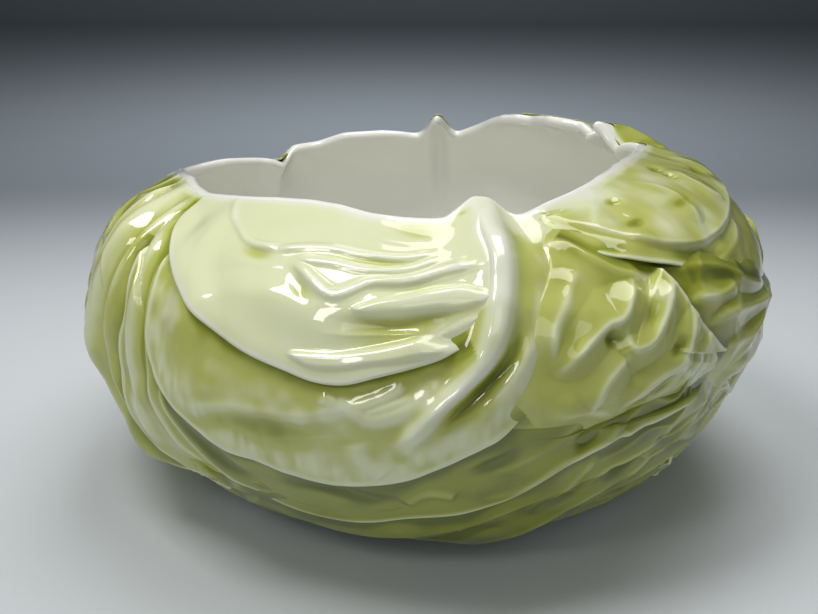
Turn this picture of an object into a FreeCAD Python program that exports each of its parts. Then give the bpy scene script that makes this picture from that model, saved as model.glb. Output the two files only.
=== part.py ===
"""Cabbage soup tureen, glazed earthenware: an open bowl on a foot ring, dressed in overlapping leaves.

Units are millimetres. +Z is up, the foot stands on Z = 0, and the front faces -Y with +X to its right.
An azimuth is in degrees from the front, positive towards +X. Every leaf is its own solid: it lies on the
bowl, and where leaves overlap the outer one is hollowed to sit over the one below.
"""
import FreeCAD, Part
import math
import os

# Driving dimensions of the bowl.
WALL = 4.5              # thickness of the bowl's wall
FOOT_OUTER_R = 66.0
FOOT_WIDTH = 8.0
FOOT_HEIGHT = 5.0
LEAF = 1.9              # thickness of one layer of leaf on the belly
RIM_BAND = 1.6          # bare strip of bowl left above the leaves' top edges
SLICE_REACH = 190.0     # how far the cutting tools reach from the axis

# Outside of the bowl, from the centre of its underside to above the rim: radius, height.
BOWL_OUTSIDE = [(70, 5), (82, 8), (100, 19), (115, 36), (123.5, 56), (126.5, 78), (122.5, 96), (110.5, 112),
                (92, 126), (74, 134), (52, 140)]
CROWN_R = 31.0          # the middle of the closed-over top, which the rim tool doesn't reach

# Height of the wavy rim at each azimuth. The low stretch is at the back left.
RIM = {-180: 116, -170: 119, -158: 117, -146: 108, -130: 108, -112: 113, -92: 119, -72: 124.5, -50: 124.5,
       -25: 127, 0: 125, 11: 127, 30: 128, 58: 131, 85: 130, 102: 122, 118: 130, 140: 130.5, 160: 124}

# Leaves, from the innermost layer out. Each is (layer, azimuth it faces, outline), and an outline is a
# smooth closed curve through (azimuth, height) points. A point above the rim runs the leaf up to the rim.
TOP = 142
LEAVES = {
    "base_leaf_front": (0, -2, [
        (-58, 50), (-60, 30), (-38, 14), (-5, 10), (28, 12), (56, 26), (60, 48), (40, 76), (0, 84),
        (-40, 78)]),
    "base_leaf_right": (0, 92, [
        (48, 50), (46, 30), (60, 15), (88, 11), (116, 15), (136, 30), (138, 52), (118, 80), (88, 86),
        (58, 84)]),
    "base_leaf_back": (0, 178, [
        (128, 50), (126, 30), (148, 14), (178, 10), (206, 13), (228, 28), (230, 52), (206, 78), (178, 82),
        (150, 78)]),
    "base_leaf_left": (0, -92, [
        (-138, 50), (-140, 30), (-120, 15), (-92, 11), (-64, 15), (-48, 28), (-46, 52), (-62, 80),
        (-92, 84), (-122, 80)]),
    "lower_front_leaf": (1, -2, [
        (-42, 80), (-41, 68), (-38.5, 56), (-34.5, 47), (-29.5, 38.5), (-24, 33), (-17, 30.5), (-9, 32),
        (-2, 36), (5, 38), (10, 42.5), (14, 49), (19, 56.5), (25, 62), (33, 65), (42, 68), (50, 71),
        (54, 84), (44, 100), (20, 106), (-8, 108), (-36, 102)]),
    "far_right_leaf": (2, 76, [
        (44, 78), (50, 64), (58, 52), (72, 44), (92, 44), (108, 56), (117, 80), (116, 104), (108, TOP),
        (60, TOP), (36, 122), (34, 102)]),
    "far_left_leaf": (1, -92, [
        (-130, 96), (-124, 74), (-112, 56), (-94, 48), (-76, 50), (-62, 60), (-52, 84), (-54, 116),
        (-60, TOP), (-126, TOP)]),
    "back_right_leaf": (1, 138, [
        (112, 108), (114, 86), (124, 62), (138, 48), (152, 52), (163, 68), (168, 92), (166, 116),
        (162, TOP), (112, TOP)]),
    "back_left_leaf": (1, -144, [
        (-172, 96), (-164, 66), (-146, 50), (-130, 54), (-119, 72), (-116, 96), (-118, TOP),
        (-170, TOP)]),
    "lower_back_leaf": (1, 184, [
        (154, 78), (164, 50), (184, 38), (204, 48), (216, 76), (206, 100), (184, 106), (162, 100)]),
    "left_outer_leaf": (2, -54, [
        (-68, 125), (-67.5, 112), (-66, 98), (-66.5, 84), (-67.5, 70), (-65, 56), (-60, 45), (-55, 38),
        (-50, 32), (-45, 28), (-41, 38), (-40, 70), (-42, 104), (-48, 122), (-50, TOP), (-68, TOP)]),
    "right_leaf": (3, 26, [
        (38, 108), (40, 102), (41, 95), (43, 89), (47, 81), (50, 75), (50, 68), (40, 62), (30, 58),
        (20, 56), (10, 62), (5, 76), (4, 98), (8, 114), (16, 124), (28, 125), (36, 120), (38.5, 114)]),
    "left_pleated_leaf": (3, -43, [
        (-53, 110), (-52, 100), (-51, 90), (-52, 80), (-52.5, 70), (-53, 60), (-53.5, 50), (-53, 40),
        (-50, 33), (-45, 28), (-38, 30), (-32, 44), (-28, 64), (-29, 92), (-36, 112), (-46, TOP),
        (-58, TOP), (-56, 122)]),
    "back_leaf": (3, 180, [
        (148, 116), (151, 90), (163, 68), (180, 58), (194, 66), (207, 86), (212, 112), (208, TOP),
        (150, TOP)]),
    "back_left_lobe": (3, -136, [
        (-163, 118), (-158, 102), (-146, 92), (-128, 90), (-114, 96), (-107, 108), (-106, TOP),
        (-162, TOP)]),
    "upper_right_leaf": (4, 58, [
        (23.5, 118.5), (28.5, 115.5), (33.5, 111.5), (39, 107.5), (48, 104.5), (51, 101), (55.5, 96.5),
        (63, 91.5), (71.5, 87.5), (80, 92), (88, 102), (94, 116), (97, 128), (94, TOP), (18, TOP),
        (17, 124)]),
    "front_leaf": (4, -12, [
        (-44.5, 102), (-44, 92), (-43.5, 84), (-42, 76), (-39, 69.5), (-35, 63.5), (-30.5, 58),
        (-24.5, 54.5), (-19, 52), (-12.5, 51), (-7, 52.5), (-1.5, 56.5), (3.5, 62.5), (8, 68.5), (12, 75.5),
        (15.5, 84), (16, 92), (17.5, 100), (20.5, 107.5), (22, 113), (22, TOP), (-46, TOP), (-45, 114)]),
    "front_left_leaf": (5, -20, [
        (-54, 126), (-52, 120.5), (-50, 116), (-46, 110), (-40.5, 103.5), (-36, 98.5), (-31, 94.5),
        (-25, 90), (-19, 87), (-14.5, 85), (-11.5, 85), (-7, 87.5), (0, 91.5), (5, 95), (9, 98), (11, 104),
        (12, 112), (12, 120), (12, TOP), (-48, TOP)]),
}


def vec(x, y, z):
    return FreeCAD.Vector(x, y, z)


def at(azimuth, radius, z):
    """The point at an azimuth, a radius from the axis and a height."""
    a = math.radians(azimuth)
    return vec(radius * math.sin(a), -radius * math.cos(a), z)


def curve(points, closed=False):
    spline = Part.BSplineCurve()
    spline.interpolate(points, PeriodicFlag=closed)
    return spline


BOWL_CURVE = curve([vec(r, 0, z) for r, z in BOWL_OUTSIDE])


def outside_radius(z):
    """Radius of the bowl's outside at a height."""
    level = Part.makePlane(400, 400, vec(-200, -200, z))
    hits = BOWL_CURVE.toShape().section(level).Vertexes
    return max(v.X for v in hits) if hits else BOWL_OUTSIDE[-1][0]


def layer_share(z):
    """Share of its full thickness that a leaf has at a height: thin at the foot, and again at the rim."""
    foot = min(1.0, max(0.0, (z - BOWL_OUTSIDE[0][1]) / 26.0))
    rim = min(1.0, max(0.0, (BOWL_OUTSIDE[-1][1] - z) / 36.0))
    return (0.08 + 0.92 * foot) * (0.15 + 0.85 * rim)


def offset_block(distance, tapered):
    """Everything inside the bowl's outside, moved out by a distance along the outline's normal."""
    first, last = BOWL_CURVE.FirstParameter, BOWL_CURVE.LastParameter
    stations = 24
    moved = []
    for i in range(stations + 1):
        at_u = first + (last - first) * i / stations
        p = BOWL_CURVE.value(at_u)
        along = BOWL_CURVE.tangent(at_u)[0]
        normal = vec(along.z, 0, -along.x)
        share = layer_share(p.z) if tapered else 1.0
        moved.append(p + normal * (distance * share))
    edge = curve(moved).toShape()
    low, high = moved[0], moved[-1]
    wire = Part.Wire([Part.makeLine(vec(0, 0, low.z), low), edge, Part.makeLine(high, vec(0, 0, high.z)),
                      Part.makeLine(vec(0, 0, high.z), vec(0, 0, low.z))])
    return Part.Face(wire).revolve(vec(0, 0, 0), vec(0, 0, 1), 360)


def above_rim(drop):
    """A ring-shaped tool that covers everything above the wavy rim, lowered by a drop."""
    inner = curve([at(a, CROWN_R - 1, z - drop) for a, z in RIM.items()], closed=True).toShape()
    outer = curve([at(a, SLICE_REACH, z - drop) for a, z in RIM.items()], closed=True).toShape()
    return Part.makeRuledSurface(inner, outer).extrude(vec(0, 0, 60))


def make_bowl():
    """The bowl: a turned wall of even thickness with its top cut to the wavy rim."""
    wall = offset_block(0, False).cut(offset_block(-WALL, False))
    crown = Part.makeCylinder(CROWN_R, BOWL_OUTSIDE[-1][1], vec(0, 0, min(RIM.values())))
    floor = Part.makeCylinder(BOWL_OUTSIDE[0][0] - 1.0, WALL, vec(0, 0, FOOT_HEIGHT))
    bowl = wall.fuse(floor).removeSplitter()
    return bowl.cut([above_rim(0), crown])


def make_foot():
    ring = Part.makeCylinder(FOOT_OUTER_R, FOOT_HEIGHT)
    return ring.cut(Part.makeCylinder(FOOT_OUTER_R - FOOT_WIDTH, FOOT_HEIGHT))


def outline_tool(facing, outline):
    """A straight cutter, shaped as a leaf's outline, from the axis out the way that the leaf faces."""
    side = at(facing + 90, 1, 0)
    points = []
    for azimuth, z in outline:
        across = outside_radius(min(z, BOWL_OUTSIDE[-1][1] - 1)) * math.sin(math.radians(azimuth - facing))
        points.append(side * across + vec(0, 0, z))
    face = Part.Face(Part.Wire([curve(points, closed=True).toShape()]))
    return face.extrude(at(facing, SLICE_REACH, 0))


def make_leaves():
    """Every leaf, innermost layer first, each hollowed by the bowl and by the leaves under it."""
    bowl_block = offset_block(0, False)
    trim = above_rim(RIM_BAND)
    envelopes = {}
    made = {}
    for name, (layer, facing, outline) in sorted(LEAVES.items(), key=lambda item: item[1][0]):
        if layer not in envelopes:
            envelopes[layer] = offset_block(LEAF * (layer + 1), True)
        blank = envelopes[layer].common(outline_tool(facing, outline))
        below = [leaf for leaf in made.values() if leaf.BoundBox.intersect(blank.BoundBox)]
        leaf = blank.cut([bowl_block, trim] + below)
        solids = sorted(leaf.Solids, key=lambda s: s.Volume)
        made[name] = solids[-1]
        print(f"{name}: {solids[-1].Volume / 1000:.1f} cm3, valid {solids[-1].isValid()}")
    return made


def main():
    os.makedirs("parts", exist_ok=True)
    pieces = {"bowl": make_bowl(), "foot_ring": make_foot()}
    pieces.update(make_leaves())
    whole = Part.Compound(list(pieces.values()))
    box = whole.optimalBoundingBox()
    to_centre = vec(-box.Center.x, -box.Center.y, 0)
    for name, shape in pieces.items():
        shape.translate(to_centre)
        shape.exportStep(f"parts/{name}.step")
    print(f"moved by {to_centre.x:.2f}, {to_centre.y:.2f}")
    print(f"size {box.XLength:.1f} x {box.YLength:.1f} x {box.ZLength:.1f}")


main()
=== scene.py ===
"""Looks of the cabbage soup tureen: a glazed earthenware bowl dressed in overlapping cabbage leaves.

Every leaf is a closed mesh of its own. It is drawn on the bowl's outside, where a place is an azimuth in
degrees from the front, positive towards +X, and a height in millimetres. Relief stands out from there.
"""
import math
import bpy
import numpy as np
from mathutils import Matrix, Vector


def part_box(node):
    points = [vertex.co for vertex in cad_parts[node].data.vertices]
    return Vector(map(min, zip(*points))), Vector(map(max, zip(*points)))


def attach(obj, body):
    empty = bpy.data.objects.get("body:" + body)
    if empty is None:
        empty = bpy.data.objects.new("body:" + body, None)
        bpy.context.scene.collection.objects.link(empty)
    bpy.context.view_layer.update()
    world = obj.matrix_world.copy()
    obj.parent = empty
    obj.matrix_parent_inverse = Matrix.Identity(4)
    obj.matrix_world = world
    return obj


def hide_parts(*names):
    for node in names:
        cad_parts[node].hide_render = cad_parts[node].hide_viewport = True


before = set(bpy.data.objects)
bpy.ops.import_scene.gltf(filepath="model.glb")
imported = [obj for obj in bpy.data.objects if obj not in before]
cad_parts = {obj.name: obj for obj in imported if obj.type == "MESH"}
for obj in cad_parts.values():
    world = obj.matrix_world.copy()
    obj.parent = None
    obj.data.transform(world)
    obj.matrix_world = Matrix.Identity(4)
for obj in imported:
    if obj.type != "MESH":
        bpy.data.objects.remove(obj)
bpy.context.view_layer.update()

MM = 0.001
FOOT_LOW, FOOT_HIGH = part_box("foot_ring")
AXIS_X = (FOOT_LOW.x + FOOT_HIGH.x) / 2 / MM
AXIS_Y = (FOOT_LOW.y + FOOT_HIGH.y) / 2 / MM
FOOT_OUTER_R = (FOOT_HIGH.x - FOOT_LOW.x) / 2 / MM
FOOT_HEIGHT = FOOT_HIGH.z / MM

WALL = 4.5              # thickness of the bowl's wall
FIRST = 2.0             # how far a leaf stands above the wall, low on the belly
HIGHER = 1.8            # how much further it stands out on the upper half
LAYER = 1.5             # how much further it stands out for each leaf below it
RIM_GAP = 1.2           # strip of bare rim above the leaves
TOP = 150               # a height above the rim, for outlines that run up to it
PLANE_SCALE = 2.1       # millimetres for a degree of azimuth, where an outline is drawn flat
INNER_SINK = 0.8        # how far a leaf's underside is sunk into the wall
HIDE_REACH = 8.0        # width of the strip in which a covered edge sinks away
CURL_REACH = 5.0        # width of the strip in which a free edge curls out
VEIN_WIDTH = 0.30   # width of the veins of a crinkled leaf, as a share of a cell
POOL_AND_SHADE_TONE = 0.40        # how much darker the tone is beside a higher leaf's free edge, for glaze that pools there and for painted contact shade
HOLLOW_TONE = 0.22      # how much darker the glaze is in hollows
DEEPEST_TONE = 0.98     # darkest tone of the glaze
CREST_WHITE = 0.7       # how white the glaze is where it thins on a free edge
SPOKES, RINGS = 520, 110    # points round a leaf, and from its middle to its edge
ROOM_HALF, ROOM_BACK, ROOM_FRONT = 3.0, 2.4, -3.0   # the floor's half width, back and front, in metres
BEND, WALL_TOP = 0.6, 2.4   # radius between floor and backdrop, and the backdrop's height, in metres
CAMERA_DISTANCE = 0.42      # metres from the camera to its target
CAMERA_ELEVATION = 20       # degrees
TARGET_LEFT, TARGET_UP = 6.7, 62    # millimetres from the axis and from the floor
LENS = 44.0                 # millimetres, on a 36 mm sensor

# Outside of the bowl's wall, from the foot to above the rim: radius, height.
OUTSIDE = [(60, 4.4), (70, 5), (82, 8), (100, 19), (115, 36), (123.5, 56), (126.5, 78), (122.5, 96),
           (110.5, 112), (92, 126), (74, 134), (60, 138)]

# Height of the rim at each azimuth, and how far it is folded in or out of round.
RIM = [(-178, 116), (-174, 117.5), (-169, 118.5), (-158, 118), (-152, 113), (-146, 111.5), (-143, 103.5),
       (-139, 107), (-134, 109), (-124, 112), (-112, 113.5), (-102, 115.5), (-92, 119), (-83, 122.5),
       (-75, 124.5), (-68, 125.5), (-60, 124.5), (-54, 124), (-44, 125.5), (-34, 127), (-26, 127.5),
       (-19, 127), (-12, 125.5), (-5, 125), (0, 125), (2.5, 125), (5.5, 127.5), (9, 130), (13, 129.5),
       (15.5, 125.5), (18, 125), (25, 127), (37, 129), (46, 130.5), (58, 131.5), (68, 131.5),
       (80, 131), (88, 131.5), (92, 131), (96, 126), (103, 138), (108, 132), (111, 130), (117, 132),
       (124, 133.5), (131, 134), (137, 133), (142, 131.5), (148, 131.5), (154, 130), (159, 127),
       (164, 122.5), (168, 119), (171, 116.5), (173, 122), (174.5, 127), (176.5, 127.5), (178.5, 122),
       (180, 117)]
RIM_FOLD = [(-160, 0), (-152, 2), (-146, 5), (-142, -5), (-136, -1), (-120, 0), (80, 0), (87, 3), (91, 0),
            (95, -12), (99, -4), (103, 12), (107, 4), (110, -8), (114, -2), (120, 3), (128, 0)]


def smooth(points, count, closed=False):
    """Points at even steps along a smooth curve through the given ones."""
    p = np.array(points, float)
    if closed:
        p = np.vstack([p[-1:], p, p[:2]])
    else:
        p = np.vstack([2 * p[:1] - p[1:2], p, 2 * p[-1:] - p[-2:-1]])
    gap = np.linalg.norm(np.diff(p, axis=0), axis=1)[:, None]
    slope = np.diff(p, axis=0) / gap
    tangent = (slope[1:] * gap[:-1] + slope[:-1] * gap[1:]) / (gap[:-1] + gap[1:])
    t = np.linspace(0, 1, 24, endpoint=False)[None, :, None]
    a, b, h = p[1:-2, None], p[2:-1, None], gap[1:-1, None]
    ta, tb = tangent[:-1, None] * h, tangent[1:, None] * h
    fine = (a * (2 * t**3 - 3 * t**2 + 1) + b * (3 * t**2 - 2 * t**3)
            + ta * (t**3 - 2 * t**2 + t) + tb * (t**3 - t**2)).reshape(-1, p.shape[1])
    fine = np.vstack([fine, p[-2:-1]])
    run = np.concatenate([[0], np.cumsum(np.linalg.norm(np.diff(fine, axis=0), axis=1))])
    at = np.linspace(0, run[-1], count, endpoint=not closed)
    return np.stack([np.interp(at, run, fine[:, k]) for k in range(p.shape[1])], 1)


def step(low, high, x):
    """0 below low, 1 above high, and a smooth rise between them."""
    t = np.clip((x - low) / (high - low), 0, 1)
    return t * t * (3 - 2 * t)


LINE = smooth(OUTSIDE, 600)
LINE_ARC = np.concatenate([[0], np.cumsum(np.linalg.norm(np.diff(LINE, axis=0), axis=1))])
LINE_R, LINE_Z = LINE[:, 0], LINE[:, 1]
LINE_NR, LINE_NZ = np.gradient(LINE_Z, LINE_ARC), -np.gradient(LINE_R, LINE_ARC)


def arc(height):
    """Length up the bowl's outline to a height."""
    return np.interp(height, LINE_Z, LINE_ARC)


QUARTERS = np.arange(-180, 180, 0.25)


def around(table, soft):
    """Values at every quarter degree from (azimuth, value) pairs, rounded at their corners."""
    values = np.interp(QUARTERS, [a for a, v in table], [v for a, v in table], period=360)
    reach = np.arange(-16, 17)
    kernel = np.exp(-(reach / soft) ** 2)
    wrapped = np.concatenate([values[-16:], values, values[:16]])
    return np.convolve(wrapped, kernel / kernel.sum(), "valid")


RIM_HEIGHT = around(RIM, 5)
FOLD_DEPTH = around(RIM_FOLD, 4)


def rim_arc(azimuth):
    """Length up the bowl's outline to the rim."""
    return arc(np.interp(azimuth, QUARTERS, RIM_HEIGHT, period=360))


def turned(azimuth, middle):
    """Degrees from a middle azimuth, between -180 and 180."""
    return (azimuth - middle + 180) % 360 - 180


def swell(azimuth, along, middle, height, width, tall):
    """1 at a place, falling off over a width in degrees and a height in millimetres."""
    return np.exp(-(turned(azimuth, middle) / width) ** 2 - ((along - arc(height)) / tall) ** 2)


# Broad bulges of the belly: amount, azimuth, height, width in degrees, height in millimetres.
BULGES = [(2.5, 78, 104, 26, 26), (2.5, -84, 74, 24, 30), (5, 4, 18, 24, 16), (4, 175.5, 112, 1.8, 34)]


def folds(azimuth, along):
    """How far the whole wall, rim and leaves together, stands out of round."""
    near_rim = np.exp(-((rim_arc(azimuth) - along) / 24.0) ** 2)
    wave = 1.0 * np.sin(np.radians(azimuth * 5 + 40)) + 0.6 * np.sin(np.radians(azimuth * 9 + 10))
    out = near_rim * (np.interp(azimuth, QUARTERS, FOLD_DEPTH, period=360) + wave)
    return out + sum(amount * swell(azimuth, along, *place_and_size) for amount, *place_and_size in BULGES)


def place(azimuth, along, out):
    """Points in metres from an azimuth, a length up the bowl's outline and a distance out from it."""
    radius = np.interp(along, LINE_ARC, LINE_R) + np.interp(along, LINE_ARC, LINE_NR) * out
    radius = radius + folds(azimuth, along)
    height = np.interp(along, LINE_ARC, LINE_Z) + np.interp(along, LINE_ARC, LINE_NZ) * out
    a = np.radians(azimuth)
    return np.stack([AXIS_X + radius * np.sin(a), AXIS_Y - radius * np.cos(a), height], -1) * MM


def base_place(azimuth, along):
    """The same place on a round bowl, in millimetres, for measuring distances along its outside."""
    radius = np.interp(along, LINE_ARC, LINE_R)
    a = np.radians(azimuth)
    return np.stack([radius * np.sin(a), -radius * np.cos(a), np.interp(along, LINE_ARC, LINE_Z)], -1)


def on_bowl(line, count):
    """A smooth line through (azimuth, height) points, as points on a round bowl."""
    flat = smooth([(a * PLANE_SCALE, arc(z)) for a, z in line], count)
    return base_place(flat[:, 0] / PLANE_SCALE, flat[:, 1])


def distance(points, line):
    """Distance from each point to a line, and how far along the line, from 0 to 1, the nearest place is."""
    best = np.full(len(points), 1e9)
    where = np.zeros(len(points))
    parts = len(line) - 1
    for i in range(parts):
        a, d = line[i], line[i + 1] - line[i]
        t = np.clip((points - a) @ d / (d @ d), 0, 1)
        gap = np.linalg.norm(points - a - t[:, None] * d, axis=1)
        near = gap < best
        best[near] = gap[near]
        where[near] = (i + t[near]) / parts
    return best, where


def lattice(points, cell, seed):
    """Gap between the two nearest of a set of scattered seeds: 0 on the borders between their cells."""
    rng = np.random.default_rng(seed)
    table = rng.random((64, 64, 2))
    q = points / cell
    home = np.floor(q).astype(int)
    nearest = np.full(len(q), 9.0)
    second = np.full(len(q), 9.0)
    for dx in (-1, 0, 1):
        for dy in (-1, 0, 1):
            square = home + (dx, dy)
            seeds = square + table[square[:, 0] % 64, square[:, 1] % 64]
            gap = np.linalg.norm(q - seeds, axis=1)
            second = np.minimum(second, np.maximum(nearest, gap))
            nearest = np.minimum(nearest, gap)
    return second - nearest


def ripple(points, cell, seed):
    """Smooth random height between -1 and 1, with features the size of a cell."""
    rng = np.random.default_rng(seed)
    table = rng.random((64, 64)) * 2 - 1
    q = points / cell
    home = np.floor(q).astype(int)
    f = q - home
    f = f * f * (3 - 2 * f)
    x, y = home[:, 0] % 64, home[:, 1] % 64
    x1, y1 = (x + 1) % 64, (y + 1) % 64
    low = table[x, y] * (1 - f[:, 0]) + table[x1, y] * f[:, 0]
    high = table[x, y1] * (1 - f[:, 0]) + table[x1, y1] * f[:, 0]
    return low * (1 - f[:, 1]) + high * f[:, 1]


def mesh_piece(name, node, points, faces, tone=None):
    """A smooth-shaded piece that rides on the one body and stands for a CAD node."""
    mesh = bpy.data.meshes.new(name)
    mesh.from_pydata(points.tolist(), [], faces)
    mesh.polygons.foreach_set("use_smooth", np.ones(len(mesh.polygons), bool))
    if tone is not None:
        layer = mesh.attributes.new("tone", "FLOAT", "POINT")
        layer.data.foreach_set("value", tone.astype(np.float32))
    piece = bpy.data.objects.new(name, mesh)
    bpy.context.scene.collection.objects.link(piece)
    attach(piece, "root")
    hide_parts(node)
    return piece


def ring_faces(rings, spokes, flip=False):
    """Quads between closed rings of points, one ring after another."""
    k = np.arange(spokes)
    n = (k + 1) % spokes
    quads = [np.stack([i * spokes + k, i * spokes + n, (i + 1) * spokes + n, (i + 1) * spokes + k], 1)
             for i in range(rings - 1)]
    quads = np.vstack(quads)
    return (quads[:, ::-1] if flip else quads).tolist()


# Leaves: layer, thickness of the edge, how far the edge curls out, a place well inside, the free edge, and
# the rest of the outline, which other leaves or the rim cover. Places are azimuths and heights.
LEAVES = {
    "base_leaf_front": (0, 1.2, 0.4, (-2, 38), [
        (-58, 50), (-60, 30), (-38, 14), (-5, 10), (28, 12), (56, 26), (60, 48)], [
        (40, 76), (0, 84), (-40, 78)]),
    "base_leaf_right": (0, 1.4, 0.6, (92, 46), [
        (48, 50), (46, 30), (60, 15), (88, 11), (116, 15), (136, 30), (138, 52)], [
        (118, 80), (88, 86), (58, 84)]),
    "base_leaf_back": (0, 1.6, 0.8, (178, 44), [
        (128, 50), (126, 30), (148, 14), (178, 10), (206, 13), (228, 28), (230, 52)], [
        (206, 78), (178, 82), (150, 78)]),
    "base_leaf_left": (0, 1.4, 0.6, (-92, 44), [
        (-138, 50), (-140, 30), (-120, 15), (-92, 11), (-64, 15), (-48, 28), (-46, 52)], [
        (-62, 80), (-92, 84), (-122, 80)]),
    "lower_front_leaf": (4, 1.2, 0.5, (-4, 66), [
        (-42, 80), (-41, 68), (-38.5, 56), (-34.5, 47), (-29.5, 38.5), (-24, 33), (-17, 30.5),
        (-9, 32), (-2, 36), (5, 38), (10, 42.5), (14, 49), (19, 56.5), (25, 62), (33, 65), (41, 67.5),
        (47, 70)], [
        (48, 80), (42, 96), (20, 106), (-8, 108), (-36, 102)]),
    "far_right_leaf": (2, 1.5, 0.7, (80, 90), [
        (62, 52), (68, 47), (76, 44), (92, 44), (108, 56), (117, 80), (116, 104)], [
        (108, TOP), (60, TOP), (36, 122), (35, 102), (40, 86), (44, 73), (53, 60)]),
    "far_left_leaf": (1, 1.6, 0.8, (-94, 88), [
        (-130, 96), (-124, 74), (-112, 56), (-94, 48), (-76, 50), (-62, 60)], [
        (-52, 84), (-54, 116), (-60, TOP), (-126, TOP)]),
    "back_right_leaf": (1, 1.8, 1.0, (138, 92), [
        (112, 108), (114, 86), (124, 62), (138, 48), (152, 52), (163, 68), (168, 92)], [
        (166, 116), (162, TOP), (112, TOP)]),
    "back_left_leaf": (1, 1.8, 1.0, (-142, 84), [
        (-172, 96), (-164, 66), (-146, 50), (-130, 54), (-119, 72), (-116, 96)], [
        (-118, TOP), (-170, TOP)]),
    "lower_back_leaf": (1, 1.8, 1.0, (184, 74), [
        (154, 78), (164, 50), (184, 38), (204, 48), (216, 76)], [
        (206, 100), (184, 106), (162, 100)]),
    "left_outer_leaf": (2, 2.6, 1.6, (-56, 78), [
        (-68, 125), (-67.5, 112), (-66, 98), (-66.5, 84), (-67.5, 70), (-65, 56), (-60, 45), (-55, 38),
        (-50, 32), (-45, 28)], [
        (-41, 38), (-40, 70), (-42, 104), (-48, 122), (-50, TOP), (-68, TOP)]),
    "right_leaf": (5, 1.2, 0.3, (26, 90), [
        (37, 108), (38, 103), (39, 98), (40.5, 92), (43, 86), (46, 80.5), (49, 77)], [
        (49, 73), (44, 71.5), (36, 70), (28, 68), (22, 66), (14, 64), (8, 67), (4, 76), (2, 98), (6, 114),
        (16, 124), (28, 125), (36, 120), (38.5, 114)]),
    "left_pleated_leaf": (3, 1.6, 0.8, (-43, 80), [
        (-53, 110), (-52, 100), (-51, 90), (-52, 80), (-52.5, 70), (-53, 60), (-52.5, 52), (-50, 44),
        (-45, 37), (-39, 33), (-33, 32.5)], [
        (-28, 40), (-26, 52), (-27, 68), (-29, 92), (-36, 112), (-46, TOP), (-58, TOP), (-56, 122)]),
    "back_leaf": (3, 2.0, 1.2, (178, 94), [
        (148, 116), (151, 90), (163, 68), (180, 58), (194, 66), (207, 86), (212, 112)], [
        (208, TOP), (150, TOP)]),
    "back_left_lobe": (3, 2.0, 1.0, (-136, 104), [
        (-163, 118), (-158, 102), (-146, 92), (-128, 90), (-114, 96), (-107, 108)], [
        (-106, TOP), (-162, TOP)]),
    "upper_right_leaf": (6, 0.9, 0.0, (58, 116), [
        (22, 119), (24.5, 115.5), (28, 112.5), (32, 110.5), (37, 108), (42, 105.5), (47, 103), (53, 99.5),
        (59, 96), (66, 91.5), (74, 89), (82, 93), (88, 102), (94, 116), (97, 128)], [
        (94, TOP), (18, TOP), (17, 124)]),
    "front_leaf": (6, 1.1, 0.4, (-14, 92), [
        (-46, 112), (-45, 105), (-44, 96), (-43.5, 86), (-42, 76), (-39, 69.5), (-35, 63.5),
        (-30.5, 58), (-24.5, 54.5), (-19, 52), (-12.5, 51), (-7, 52.5), (-1.5, 56.5), (3.5, 62.5),
        (8, 68.5), (12, 75.5)], [
        (15.5, 84), (16, 92), (17.5, 100), (20.5, 107.5), (22, 113), (22, TOP), (-44, TOP), (-46, 118)]),
    "front_left_leaf": (7, 1.8, 1.0, (-18, 108), [
        (-54, 126), (-52, 120.5), (-50, 116), (-46, 110), (-40.5, 103.5), (-36, 98.5), (-31, 94.5),
        (-25, 90), (-19, 87), (-14.5, 85), (-11.5, 85), (-7, 87.5), (0, 91.5), (5, 95)], [
        (9, 98), (11, 104), (12, 112), (12, 120), (12, TOP), (-50, TOP)]),
}


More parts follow.
